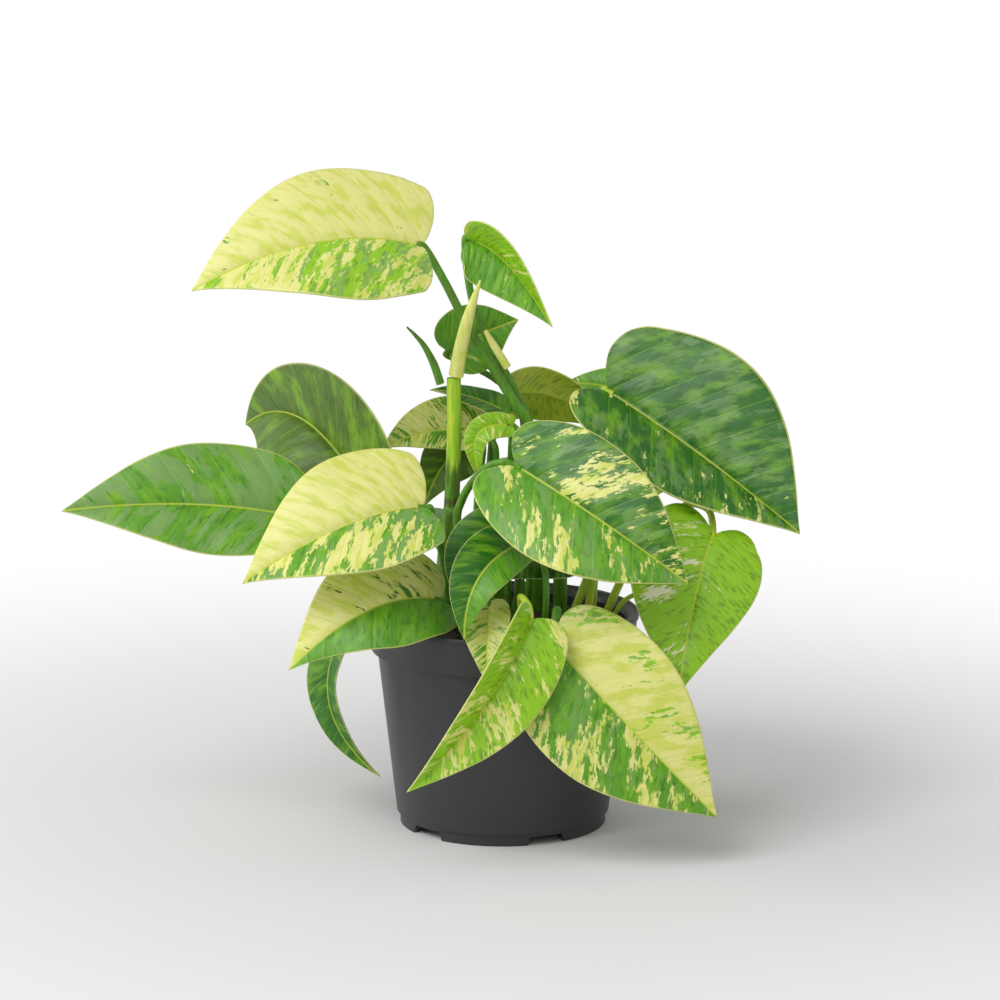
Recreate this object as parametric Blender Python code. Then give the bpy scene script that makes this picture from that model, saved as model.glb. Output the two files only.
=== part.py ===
"""Potted pothos plant: a nursery pot, its soil, three vines, and the leaves on their stalks.

All driving sizes are in millimetres and are turned into metres as the meshes are made.
X runs to the right of the plant's front, Y to its back and Z up; Z = 0 is the surface it stands on.
"""
import math
from collections import namedtuple

import bmesh
import bpy
import numpy as np

MM = 0.001

# Where the pot's axis stands, so that the middle of the whole plant's footprint is the origin.
POT_AXIS = (32.0, -4.2)

# Pot: radii and heights of the moulded shell.
POT_SEGMENTS = 72
FOOT_RADIUS = 47.0
FOOT_RING_WIDTH = 2.2
FOOT_HEIGHT = 5.0
FLOOR_UNDERSIDE = 4.6
FLOOR_THICKNESS = 1.5
WALL_BOTTOM_RADIUS = 48.6
WALL_TOP_RADIUS = 57.2
WALL_THICKNESS = 1.4
BAND_BOTTOM = 81.2
BAND_TOP = 95.2
BAND_RADIUS_BOTTOM = 60.0
BAND_RADIUS_TOP = 61.2
LIP_RADIUS = 62.0
POT_HEIGHT = 98.0
FOOT_COUNT = 5
FOOT_NOTCH_ANGLE = 22.0
FOOT_NOTCH_HEIGHT = 3.8
FIRST_NOTCH_MIDDLE = 25.0
DRAIN_HOLE_RADIUS = 4.0
DRAIN_HOLE_CIRCLE = 34.0

# Soil: a shallow mound, clear of the pot's wall.
SOIL_GAP = 0.4
SOIL_EDGE_HEIGHT = 89.5
SOIL_CROWN_HEIGHT = 97.0

# Leaves and stalks.
LEAF_THICKNESS = 0.8
LEAF_ROWS = 11
LEAF_ACROSS = 3
STALK_SIDES_RESOLUTION = 1
STALK_STEPS = 8
LOBE_ROWS = 0.36
STEM_CLEARANCE = 0.8
JOINT_DROP = 2.6
JOINT_BACK = 1.6

# Half of a heart-shaped leaf as (length, width) fractions, from the notch round the lobe to the tip.
HALF_OUTLINE = (
    (0.00, 0.00), (-0.05, 0.16), (-0.08, 0.40), (-0.045, 0.67), (0.08, 0.90), (0.26, 1.00),
    (0.46, 0.94), (0.65, 0.71), (0.82, 0.38), (0.94, 0.12), (1.00, 0.00),
)

Leaf = namedtuple("Leaf", "name base middle tip widths face twist folds curls wave lobes belly green")
Stalk = namedtuple("Stalk", "name leaf points radii green")

# base, middle and tip of the midrib; half widths left and right of it; face = (turn, tilt) of the
# upper side, degrees from the front and up from level; twist along the midrib; folds and curls of
# the left and right halves, degrees; wave of the margin, mm; size of the two lobes.
LEAVES = (
    Leaf("leaf_top_left", (-36, -6, 266), (-84, -19, 269), (-137, -30, 249),
         (38, 37), (-5, 45), 0, (14, 14), (15, 15), 1.2, 0.5, 0.9, "lime"),
    Leaf("leaf_top_folded", (-15, 4, 267), (2, -1, 257), (22, -12, 230),
         (14, 18), (-20, 30), 0, (62, 10), (0, 0), 0.5, 1.0, 0.9, "lime"),
    Leaf("leaf_behind_bud", (-24, 19, 214), (-9, 21, 222), (7, 16, 229),
         (16, 16), (5, 20), 0, (8, 8), (10, 10), 0.8, 1.0, 1.0, "mid"),
    Leaf("leaf_right_dark", (48, 18, 196), (91, -2, 169), (133, -22, 138),
         (46, 36), (5, 31), 0, (20, 32), (10, 10), 1.2, 1.2, 0.85, "dark"),
    Leaf("leaf_front_middle", (6, -42, 173), (44, -64, 152), (81, -72, 126),
         (31, 34), (5, 28), 0, (16, 14), (12, 12), 1.2, 1.2, 0.95, "mid"),
    Leaf("leaf_back_pale", (2, 32, 192), (25, 44, 189), (52, 54, 170),
         (18, 13), (180, 25), 0, (8, 8), (10, 10), 1.0, 0.6, 1.0, "pale"),
    Leaf("leaf_back_right", (82, 56, 176), (56, 66, 188), (28, 72, 190),
         (20, 14), (0, 40), 0, (10, 10), (10, 10), 1.0, 1.0, 1.0, "mid"),
    Leaf("leaf_left_back_light", (-10, 18, 176), (-33, 20, 177), (-55, 14, 170),
         (10, 16), (0, 30), 0, (10, 10), (10, 15), 1.0, 1.0, 1.0, "cream"),
    Leaf("leaf_left_back_dark", (-14, 28, 170), (-27, 28, 160), (-36, 24, 141),
         (13, 13), (0, 10), 0, (10, 10), (10, 10), 1.0, 1.0, 1.0, "olive"),
    Leaf("leaf_thin_edge", (1, 10, 188), (-15, 15, 194), (-33, 15, 197),
         (9, 9), (0, 70), 0, (10, 10), (10, 10), 0.5, 1.0, 1.0, "dark"),
    Leaf("leaf_young_ribbon", (4, -4, 184), (-12, -11, 180), (-8, -14, 157),
         (7, 6), (0, 25), 0, (15, 15), (10, 10), 0.5, 0.3, 1.0, "pale"),
    Leaf("leaf_far_left", (-97, -12, 145), (-145, -18, 151), (-197, -25, 149),
         (25, 30), (0, 35), 0, (12, 12), (14, 14), 1.5, 1.0, 1.0, "mid"),
    Leaf("leaf_left_arched", (-62, 6, 150), (-92, 26, 182), (-120, 64, 172),
         (36, 30), (-10, 35), 0, (0, 50), (10, 10), 1.0, 1.0, 1.0, "olive"),
    Leaf("leaf_cream", (-35, -48, 156), (-71, -60, 149), (-114, -66, 125),
         (33, 33), (0, 42), 0, (23, 12), (14, 14), 1.2, 0.6, 0.9, "cream"),
    Leaf("leaf_over_rim", (-28, -42, 113), (-60, -62, 112), (-94, -66, 86),
         (22, 29), (-5, 50), 0, (-10, 15), (10, 10), 1.2, 1.0, 1.0, "mid"),
    Leaf("leaf_hanging_left", (-71, 4, 90), (-79, -8, 56), (-56, -12, 23),
         (11, 11), (-50, 10), 0, (20, 20), (10, 10), 0.8, 0.3, 1.0, "dark"),
    Leaf("leaf_centre_small", (8, -46, 139), (-11, -66, 127), (-17, -72, 101),
         (12, 14), (0, 25), 0, (12, 12), (10, 10), 0.8, 1.0, 1.0, "mid"),
    Leaf("leaf_centre_dark", (1, -30, 143), (-14, -40, 131), (-19, -46, 110),
         (13, 14), (0, 25), 0, (10, 10), (10, 10), 0.8, 1.0, 1.0, "dark"),
    Leaf("leaf_inner_dark", (34, -28, 132), (17, -34, 130), (-2, -38, 120),
         (13, 13), (0, 30), 0, (10, 10), (10, 10), 0.8, 1.0, 1.0, "dark"),
    Leaf("leaf_rim_small", (-6, -50, 113), (-7, -62, 102), (-7, -70, 80),
         (10, 12), (0, 20), 0, (10, 10), (10, 10), 0.8, 1.0, 1.0, "cream"),
    Leaf("leaf_front_folded", (12, -72, 110), (-8, -90, 76), (-42, -90, 37),
         (22, 18), (10, 15), 0, (10, 55), (8, 0), 1.0, 0.5, 1.0, "lime"),
    Leaf("leaf_front_right", (23, -66, 97), (57, -79, 62), (94, -80, 23),
         (33, 36), (0, 20), 0, (10, 10), (10, 10), 1.5, 1.0, 0.95, "cream"),
    Leaf("leaf_right_lime", (94, -25, 138), (85, -45, 113), (77, -62, 73),
         (27, 34), (5, 15), 0, (8, 8), (10, 10), 1.5, 1.6, 1.05, "lime"),
    Leaf("leaf_right_tiny", (99, -5, 102), (105, -8, 109), (114, -8, 118),
         (5, 5), (0, 30), 0, (10, 10), (10, 10), 0.5, 0.3, 1.0, "pale"),
    Leaf("leaf_back_middle", (20, 52, 150), (25, 82, 152), (32, 112, 128),
         (28, 28), (180, 50), 0, (12, 12), (14, 14), 1.5, 1.0, 1.0, "mid"),
    Leaf("leaf_back_left", (-38, 50, 128), (-58, 78, 128), (-78, 102, 104),
         (26, 26), (-160, 55), 0, (12, 12), (14, 14), 1.5, 1.0, 1.0, "mid"),
)

# Leaf it carries, route from its root outwards (a first point of two numbers stands on the soil;
# the leaf's joint is added at the end), and radii at the root and at the leaf.
STALKS = (
    Stalk("stalk_top_left", "leaf_top_left",
          ((16, 8), (17, 5, 150), (13, 3, 180), (6, 3, 192), (-2, 3, 205), (-15, 0, 227),
           (-26, -3, 249)), (2.9, 2.0), "mid"),
    Stalk("stalk_top_folded", "leaf_top_folded",
          ((12, 14), (14, 12, 150), (12, 11, 180), (5, 11, 198), (-6, 10, 219), (-14, 8, 240)),
          (2.3, 1.8), "mid"),
    Stalk("stalk_behind_bud", "leaf_behind_bud",
          ((6, 22), (10, 24, 150), (8, 24, 188), (-3, 23, 200), (-17, 22, 208)), (1.7, 1.4), "mid"),
    Stalk("stalk_right_dark", "leaf_right_dark",
          ((40, 20), (46, 26, 130), (72, 34, 150), (76, 34, 172), (60, 28, 192)),
          (2.4, 1.9), "pale"),
    Stalk("stalk_front_middle", "leaf_front_middle",
          ((-10, -20), (-20, -20, 138), (-18, -21, 154), (-9, -33, 169), (-1, -40, 174)),
          (2.0, 1.7), "mid"),
    Stalk("stalk_back_pale", "leaf_back_pale",
          ((-2, 26), (-6, 26, 150), (-3, 27, 184)), (1.9, 1.5), "mid"),
    Stalk("stalk_back_right", "leaf_back_right",
          ((32, 30), (52, 42, 130), (86, 54, 152), (90, 57, 170)), (2.0, 1.6), "pale"),
    Stalk("stalk_left_back_light", "leaf_left_back_light",
          ((-8, 10), (-6, 12, 140), (-3, 14, 168)), (1.6, 1.4), "mid"),
    Stalk("stalk_left_back_dark", "leaf_left_back_dark",
          ((-12, 22), (-12, 30, 140), (-9, 34, 166)), (1.6, 1.4), "mid"),
    Stalk("stalk_thin_edge", "leaf_thin_edge",
          ((2, 4), (3, 6, 150), (4, 8, 180)), (1.7, 1.4), "mid"),
    Stalk("stalk_young_ribbon", "leaf_young_ribbon",
          ((8, -2), (9, -3, 150), (9, -3, 176)), (1.7, 1.4), "mid"),
    Stalk("stalk_far_left", "leaf_far_left",
          ((-36, 2), (-48, 0, 116), (-74, -6, 140), (-90, -10, 144)), (2.2, 1.7), "mid"),
    Stalk("stalk_left_arched", "leaf_left_arched",
          ((-32, 12), (-40, 12, 120), (-54, 10, 142)), (2.2, 1.7), "mid"),
    Stalk("stalk_cream", "leaf_cream",
          ((-24, -24), (-27, -26, 128), (-31, -36, 146), (-32, -44, 154)), (1.9, 1.6), "mid"),
    Stalk("stalk_over_rim", "leaf_over_rim",
          ((-18, -26), (-20, -34, 108)), (1.8, 1.5), "mid"),
    Stalk("stalk_hanging_left", "leaf_hanging_left",
          ((-46, 8), (-54, 9, 104), (-65, 9, 101)), (1.6, 1.4), "mid"),
    Stalk("stalk_centre_small", "leaf_centre_small",
          ((18, -42), (19, -46, 122), (15, -40, 134)), (1.6, 1.4), "mid"),
    Stalk("stalk_centre_dark", "leaf_centre_dark",
          ((4, -20), (8, -22, 130)), (1.6, 1.4), "mid"),
    Stalk("stalk_inner_dark", "leaf_inner_dark",
          ((36, -22), (40, -27, 122)), (1.8, 1.5), "pale"),
    Stalk("stalk_rim_small", "leaf_rim_small",
          ((-8, -38), (-8, -43, 108)), (1.5, 1.3), "mid"),
    Stalk("stalk_front_folded", "leaf_front_folded",
          ((9, -45), (8, -54, 112), (8, -62, 118), (11, -69, 116)), (1.8, 1.5), "pale"),
    Stalk("stalk_front_right", "leaf_front_right",
          ((25, -42), (24, -52, 109), (23, -59, 107)), (2.2, 1.7), "mid"),
    Stalk("stalk_right_lime", "leaf_right_lime",
          ((44, 2), (58, 6, 118), (80, 4, 144), (92, -10, 147)), (2.0, 1.6), "pale"),
    Stalk("stalk_right_tiny", "leaf_right_tiny",
          ((46, -10), (56, -8, 105), (76, -6, 108)), (1.2, 1.0), "pale"),
    Stalk("stalk_back_middle", "leaf_back_middle",
          ((14, 32), (18, 40, 130)), (2.1, 1.7), "mid"),
    Stalk("stalk_back_left", "leaf_back_left",
          ((-20, 34), (-28, 42, 116)), (2.1, 1.7), "mid"),
)

# Vines: route (the first point stands on the soil) and radii from the bottom to the top.
VINES = (
    ("vine_left", ((-29, -14), (-27, -13, 118), (-24, -9, 142), (-23, -7, 150), (-22, -6, 178),
                   (-22, -5, 206)), (3.4, 3.3, 3.6, 3.5, 3.3, 3.2)),
    ("vine_right", ((26, 4), (26, 2, 120), (25, 0, 150), (22, -1, 176)), (3.2, 3.2, 3.0, 2.6)),
    ("vine_front", ((-2, -8), (-2, -10, 112), (-1, -12, 128)), (3.0, 3.0, 2.6)),
)

# Sheaths: papery sleeves and pointed bud scales, as tapering bodies.
SHEATHS = (
    ("sheath_bud", ((-21, -6, 207), (-19, -7, 219), (-16, -9, 232), (-13, -10, 242), (-10, -11, 251)),
     (3.4, 3.2, 2.8, 1.8, 0.4), "cream"),
    ("sheath_point", ((-28, -4, 203), (-31, -4, 212), (-35, -5, 220), (-39, -5, 225),
                      (-43, -5, 229)), (1.9, 1.8, 1.3, 0.9, 0.4), "mid"),
    ("sheath_wing", ((-8, -3, 227), (-4, -2, 220), (2, 0, 210)), (1.0, 1.8, 1.9), "cream"),
)

# Colours of the greens, from the palest to the darkest.
GREENS = {
    "cream": (0.70, 0.74, 0.32),
    "pale": (0.50, 0.58, 0.18),
    "lime": (0.32, 0.52, 0.05),
    "mid": (0.15, 0.36, 0.03),
    "olive": (0.10, 0.20, 0.01),
    "dark": (0.03, 0.15, 0.01),
}
POT_COLOUR = (0.035, 0.038, 0.042)
SOIL_COLOUR = (0.025, 0.015, 0.009)


def smooth_path(points, steps):
    """Points along a smooth curve through the given points (Catmull-Rom)."""
    points = np.asarray(points, float)
    spans = len(points) - 1
    padded = np.vstack([2 * points[0] - points[1], points, 2 * points[-1] - points[-2]])
    path = []
    for place in np.linspace(0, spans, steps + 1):
        span = min(int(place), spans - 1)
        t = place - span
        a, b, c, d = padded[span:span + 4]
        path.append(0.5 * (2 * b + (c - a) * t + (2 * a - 5 * b + 4 * c - d) * t ** 2
                           + (3 * b - a - 3 * c + d) * t ** 3))
    return np.array(path)


def unit(vector):
    return vector / np.linalg.norm(vector)


def midrib_place(leaf, along):
    """Point and direction of the midrib at a fraction of its length; it runs straight on behind 0."""
    base, middle, tip = (np.array(point, float) for point in (leaf.base, leaf.middle, leaf.tip))
    control = 2 * middle - (base + tip) / 2
    t = max(along, 0.0)
    point = (1 - t) ** 2 * base + 2 * t * (1 - t) * control + t ** 2 * tip
    direction = 2 * (1 - t) * (control - base) + 2 * t * (tip - control)
    if along < 0:
        point = point + direction * along
    return point, unit(direction)


def leaf_length(leaf):
    places = np.array([midrib_place(leaf, t)[0] for t in np.linspace(0, 1, 17)])
    return np.linalg.norm(np.diff(places, axis=0), axis=1).sum()


def rotated(vector, axis, degrees):
    angle = math.radians(degrees)
    return (vector * math.cos(angle) + np.cross(axis, vector) * math.sin(angle)
            + axis * axis.dot(vector) * (1 - math.cos(angle)))


def blade_up(leaf, along):
    """Directions out of the upper side and to the right of the blade at a place on the midrib."""
    direction = midrib_place(leaf, along)[1]
    turn, tilt = (math.radians(angle) for angle in leaf.face)
    face = np.array((math.sin(turn) * math.cos(tilt), -math.cos(turn) * math.cos(tilt),
                     math.sin(tilt)))
    up = unit(face - direction * direction.dot(face))
    up = rotated(up, direction, leaf.twist * max(along, 0.0))
    return up, np.cross(direction, up)


def blade_point(leaf, length, along, across):
    """Place on the blade of a point of the flat leaf: along is a fraction, across is in mm."""
    point = midrib_place(leaf, along)[0]
    up, right = blade_up(leaf, along)
    side = 1 if across >= 0 else -1
    half = leaf.widths[1] if side > 0 else leaf.widths[0]
    fold = math.radians(leaf.folds[1] if side > 0 else leaf.folds[0])
    bend = math.radians(leaf.curls[1] if side > 0 else leaf.curls[0])
    reach = abs(across) / half
    if abs(bend) < 0.01:
        out = abs(across) * math.cos(fold)
        lift = abs(across) * math.sin(fold)
    else:
        out = half / bend * (math.sin(fold) - math.sin(fold - bend * reach))
        lift = half / bend * (math.cos(fold - bend * reach) - math.cos(fold))
    lift += leaf.wave * reach ** 2 * math.sin(math.tau * 1.6 * along + 1.3 * side + length)
    return point + right * side * out + up * lift


def flat_place(leaf, row, reach):
    """Flat place (along, across) of a point, from its row (0 to 1) and its reach (-1 to 1)."""
    outline = smooth_path(HALF_OUTLINE, 90)
    along, width = (np.interp(row * 90, range(91), outline[:, i]) for i in (0, 1))
    along = along * leaf.lobes if along < 0 else along ** leaf.belly
    half = leaf.widths[1] if reach >= 0 else leaf.widths[0]
    if row < LOBE_ROWS:
        root = 0.05 * row / LOBE_ROWS
    else:
        root = 0.05 + 0.95 * ((row - LOBE_ROWS) / (1 - LOBE_ROWS)) ** 1.2
    return root + (along - root) * abs(reach) ** 1.35, width * half * reach


def material(name, colour, roughness):
    made = bpy.data.materials.new(name)
    made.use_nodes = True
    shader = made.node_tree.nodes["Principled BSDF"]
    shader.inputs["Base Color"].default_value = (*colour, 1)
    shader.inputs["Roughness"].default_value = roughness
    shader.inputs["Metallic"].default_value = 0.0
    made.diffuse_color = (*colour, 1)
    return made


def add_leaf(leaf, finish):
    """A leaf blade: a sheet of rows that follow the side veins, given its thickness by Solidify."""
    length = leaf_length(leaf)
    reaches = np.linspace(-1, 1, 2 * LEAF_ACROSS + 1)
    shape = bmesh.new()
    grid = []
    for row in np.linspace(0, 1, LEAF_ROWS + 1):
        places = [flat_place(leaf, row, reach) for reach in reaches]
        grid.append([shape.verts.new(blade_point(leaf, length, *place) * MM) for place in places])
    for low, high in zip(grid, grid[1:]):
        for i in range(len(reaches) - 1):
            shape.faces.new((low[i], low[i + 1], high[i + 1], high[i]))
    bmesh.ops.remove_doubles(shape, verts=shape.verts, dist=0.00002)
    mesh = bpy.data.meshes.new(leaf.name)
    shape.to_mesh(mesh)
    shape.free()
    mesh.materials.append(finish)
    blade = bpy.data.objects.new(leaf.name, mesh)
    bpy.context.collection.objects.link(blade)
    thicken = blade.modifiers.new("Thickness", "SOLIDIFY")
    thicken.thickness = LEAF_THICKNESS * MM
    thicken.offset = 0
    return blade


def soil_height(x, y):
    """Height of the soil's mound at a place given from the pot's axis."""
    share = min(math.hypot(x, y) / SOIL_RADIUS, 1.0)
    return SOIL_CROWN_HEIGHT - (SOIL_CROWN_HEIGHT - SOIL_EDGE_HEIGHT) * share ** 2


def add_tube(name, points, radii, finish):
    """A round stem along a smooth path, as a bevelled curve with filled ends."""
    path = smooth_path(points, STALK_STEPS)
    sizes = np.interp(np.linspace(0, 1, STALK_STEPS + 1), np.linspace(0, 1, len(radii)), radii)
    curve = bpy.data.curves.new(name, "CURVE")
    curve.dimensions = "3D"
    curve.bevel_depth = MM
    curve.bevel_resolution = STALK_SIDES_RESOLUTION
    curve.use_fill_caps = True
    curve.render_resolution_u = 0
    spline = curve.splines.new("POLY")
    spline.points.add(STALK_STEPS)
    for point, place, size in zip(spline.points, path, sizes):
        point.co = (*(place * MM), 1)
        point.radius = size
    curve.materials.append(finish)
    stem = bpy.data.objects.new(name, curve)
    bpy.context.collection.objects.link(stem)
    return stem


def on_soil(point):
    """A route's first point, given as (x, y), stands just clear of the soil."""
    return (*point, soil_height(*point) + STEM_CLEARANCE) if len(point) == 2 else point


def stalk_route(stalk, leaf):
    """The stalk's route, ending just behind and below the foot of its leaf's midrib."""
    base, direction = midrib_place(leaf, 0.0)
    below = base - blade_up(leaf, 0.0)[0] * JOINT_DROP - direction * JOINT_BACK
    return [on_soil(stalk.points[0]), *stalk.points[1:], tuple(below)]


def lathe(name, profile, finish, segments):
    """A turned body: the profile's (radius, height) points spun round the pot's axis."""
    shape = bmesh.new()
    corners = [shape.verts.new((radius * MM, 0, height * MM)) for radius, height in profile]
    edges = [shape.edges.new(pair) for pair in zip(corners, corners[1:])]
    bmesh.ops.spin(shape, geom=corners + edges, cent=(0, 0, 0), axis=(0, 0, 1),
                   angle=math.tau, steps=segments, use_merge=True)
    bmesh.ops.remove_doubles(shape, verts=shape.verts, dist=0.000001)
    bmesh.ops.recalc_face_normals(shape, faces=shape.faces)
    mesh = bpy.data.meshes.new(name)
    shape.to_mesh(mesh)
    shape.free()
    for face in mesh.polygons:
        face.use_smooth = True
    mesh.materials.append(finish)
    body = bpy.data.objects.new(name, mesh)
    bpy.context.collection.objects.link(body)
    return body


def inner_radius(height):
    """Radius of the pot's inner wall at a height."""
    rise = (height - FOOT_HEIGHT) / (BAND_BOTTOM - FOOT_HEIGHT)
    return WALL_BOTTOM_RADIUS - WALL_THICKNESS + (WALL_TOP_RADIUS - WALL_BOTTOM_RADIUS) * rise


SOIL_RADIUS = inner_radius(SOIL_EDGE_HEIGHT) - SOIL_GAP


def notch_cutters():
    """Five wedges that cut the foot ring into feet, and the drain holes beside them."""
    shape = bmesh.new()
    half = math.radians(FOOT_NOTCH_ANGLE / 2)
    for i in range(FOOT_COUNT):
        middle = math.radians(FIRST_NOTCH_MIDDLE - 90 + i * 360 / FOOT_COUNT)
        rings = []
        for radius in (FOOT_RADIUS - 6, FOOT_RADIUS + 6):
            for height, spread in ((-2, half * 1.12), (FOOT_NOTCH_HEIGHT, half * 0.88)):
                for turn in (middle - spread, middle + spread):
                    rings.append(shape.verts.new((radius * math.cos(turn) * MM,
                                                  radius * math.sin(turn) * MM, height * MM)))
        for face in ((0, 1, 3, 2), (4, 6, 7, 5), (0, 4, 5, 1), (2, 3, 7, 6), (0, 2, 6, 4),
                     (1, 5, 7, 3)):
            shape.faces.new([rings[corner] for corner in face])
        hole = bmesh.ops.create_cone(shape, segments=16, radius1=DRAIN_HOLE_RADIUS * MM,
                                     radius2=DRAIN_HOLE_RADIUS * MM, depth=8 * MM, cap_ends=True)
        bmesh.ops.translate(shape, verts=hole["verts"],
                            vec=(DRAIN_HOLE_CIRCLE * math.cos(middle) * MM,
                                 DRAIN_HOLE_CIRCLE * math.sin(middle) * MM, FLOOR_UNDERSIDE * MM))
    bmesh.ops.recalc_face_normals(shape, faces=shape.faces)
    mesh = bpy.data.meshes.new("foot_notches")
    shape.to_mesh(mesh)
    shape.free()
    cutters = bpy.data.objects.new("foot_notches", mesh)
    bpy.context.collection.objects.link(cutters)
    cutters.hide_render = True
    cutters.display_type = "WIRE"
    return cutters


def add_pot():
    """The nursery pot: foot ring, floor, tapered wall, rim band and lip, in one moulding."""
    floor_top = FLOOR_UNDERSIDE + FLOOR_THICKNESS
    profile = (
        (0, FLOOR_UNDERSIDE), (FOOT_RADIUS - FOOT_RING_WIDTH, FLOOR_UNDERSIDE),
        (FOOT_RADIUS - FOOT_RING_WIDTH, 0), (FOOT_RADIUS - 0.4, 0), (FOOT_RADIUS, 0.4),
        (FOOT_RADIUS + 0.3, FOOT_HEIGHT), (WALL_BOTTOM_RADIUS, FOOT_HEIGHT + 1.4),
        (WALL_TOP_RADIUS, BAND_BOTTOM - 0.5), (BAND_RADIUS_BOTTOM - 0.5, BAND_BOTTOM - 0.2),
        (BAND_RADIUS_BOTTOM, BAND_BOTTOM + 0.3), (BAND_RADIUS_TOP, BAND_TOP),
        (LIP_RADIUS - 0.3, BAND_TOP + 0.3), (LIP_RADIUS, BAND_TOP + 0.9),
        (LIP_RADIUS, POT_HEIGHT - 0.6), (LIP_RADIUS - 0.6, POT_HEIGHT),
        (BAND_RADIUS_TOP - WALL_THICKNESS, POT_HEIGHT),
        (BAND_RADIUS_TOP - WALL_THICKNESS, BAND_TOP),
        (inner_radius(SOIL_EDGE_HEIGHT) + 0.2, SOIL_EDGE_HEIGHT),
        (inner_radius(BAND_BOTTOM - 4), BAND_BOTTOM - 4),
        (inner_radius(floor_top), floor_top), (0, floor_top),
    )
    pot = lathe("pot", profile, material("pot plastic", POT_COLOUR, 0.45), POT_SEGMENTS)
    cut = pot.modifiers.new("Feet and drain holes", "BOOLEAN")
    cut.operation = "DIFFERENCE"
    cut.object = notch_cutters()
    return pot


def add_soil():
    """The soil: one body that fills the pot up to a low mound."""
    floor_top = FLOOR_UNDERSIDE + FLOOR_THICKNESS + SOIL_GAP
    rings = [(SOIL_RADIUS * share, soil_height(SOIL_RADIUS * share, 0))
             for share in (1.0, 0.8, 0.6, 0.4, 0.2, 0.0)]
    profile = ((0, floor_top), (inner_radius(floor_top) - SOIL_GAP - 0.3, floor_top), *rings)
    return lathe("soil", profile, material("potting soil", SOIL_COLOUR, 0.95), 48)


def clear_scene():
    for thing in list(bpy.data.objects):
        bpy.data.objects.remove(thing, do_unlink=True)


def main():
    clear_scene()
    greens = {name: material("green " + name, colour, 0.35) for name, colour in GREENS.items()}
    parts = [add_pot(), add_soil()]
    leaves = {leaf.name: leaf for leaf in LEAVES}
    for leaf in LEAVES:
        parts.append(add_leaf(leaf, greens[leaf.green]))
    for stalk in STALKS:
        route = stalk_route(stalk, leaves[stalk.leaf])
        parts.append(add_tube(stalk.name, route, stalk.radii, greens[stalk.green]))
    for name, route, radii in VINES:
        parts.append(add_tube(name, [on_soil(route[0]), *route[1:]], radii, greens["mid"]))
    for name, route, radii, green in SHEATHS:
        parts.append(add_tube(name, route, radii, greens[green]))
    for part in parts:
        part.location = (POT_AXIS[0] * MM, POT_AXIS[1] * MM, 0)
        for modifier in part.modifiers:
            if modifier.type == "BOOLEAN":
                modifier.object.location = part.location


if __name__ == "__main__":
    main()
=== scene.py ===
"""Looks of the potted pothos plant, laid out as a Blender add-on.

Each leaf is a fine, quilted blade with its marbling laid along its side veins; the stalks, vines,
sheaths, pot and soil are modelled round the same places as the CAD pieces that they stand for.
Sizes in the lists below are millimetres from the pot's axis.
"""
import math
import random
from collections import namedtuple

import bpy
import numpy as np
from bpy.props import FloatProperty, FloatVectorProperty, IntProperty, PointerProperty
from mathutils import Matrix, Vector


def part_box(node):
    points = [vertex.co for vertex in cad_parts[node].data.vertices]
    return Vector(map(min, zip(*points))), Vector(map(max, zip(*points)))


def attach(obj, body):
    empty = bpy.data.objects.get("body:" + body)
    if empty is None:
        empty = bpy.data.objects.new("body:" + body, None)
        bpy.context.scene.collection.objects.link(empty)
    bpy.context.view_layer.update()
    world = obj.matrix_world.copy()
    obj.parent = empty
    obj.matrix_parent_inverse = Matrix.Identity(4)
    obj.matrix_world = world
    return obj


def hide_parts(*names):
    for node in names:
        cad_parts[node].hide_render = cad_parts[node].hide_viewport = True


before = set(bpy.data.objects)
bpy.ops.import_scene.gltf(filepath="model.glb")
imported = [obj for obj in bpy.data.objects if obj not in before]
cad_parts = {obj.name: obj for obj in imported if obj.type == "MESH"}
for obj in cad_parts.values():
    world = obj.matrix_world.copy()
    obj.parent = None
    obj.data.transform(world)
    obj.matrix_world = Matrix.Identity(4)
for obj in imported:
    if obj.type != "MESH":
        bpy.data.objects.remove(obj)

bl_info = {
    "name": "Potted Pothos",
    "version": (1, 0, 0),
    "blender": (4, 5, 0),
    "location": "View3D > Sidebar > Pothos",
    "description": "Leaves, stems, soil and pot of a marbled pothos plant",
    "category": "Add Mesh",
}

MM = 0.001
POT_LOW, POT_HIGH = (Vector(corner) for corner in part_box("pot"))
AXIS = Vector(((POT_LOW.x + POT_HIGH.x) / 2, (POT_LOW.y + POT_HIGH.y) / 2, 0))
SOIL_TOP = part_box("soil")[1][2] / MM

HALF_OUTLINE = (
    (0.00, 0.00), (-0.05, 0.16), (-0.08, 0.40), (-0.045, 0.67), (0.08, 0.90), (0.26, 1.00),
    (0.46, 0.94), (0.65, 0.71), (0.82, 0.38), (0.94, 0.12), (1.00, 0.00),
)
OUTLINE_STEPS = 90
# Rows of a blade: the share that ends in the lobes, where those start on the midrib, how the others
# spread along it, and how strongly a row bows forward.
LOBE_ROWS = 0.36
LOBE_ROOT = 0.05
ROOT_SPREAD = 1.2
ROW_BOW = 1.35
# Waves along a margin, and how far the two halves are out of step.
MARGIN_WAVES = 1.6
HALVES_APART = 1.3
LENGTH_STEPS = 13
LEAST_CURL = 1e-4
# Relief of a blade, mm: where the swells start beside the midrib, half width of the groove, and the
# half widths from which a leaf has the full relief.
SWELL_START = 5.0
GROOVE_WIDTH = 1.5
FULL_SWELL_WIDTH = 25.0
FULL_GROOVE_WIDTH = 20.0
LEAF_WELD = 1e-5
WELD = 1e-6

Leaf = namedtuple("Leaf", "name base middle tip widths face twist folds curls wave lobes belly green")
Stalk = namedtuple("Stalk", "name leaf points radii green")

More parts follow.
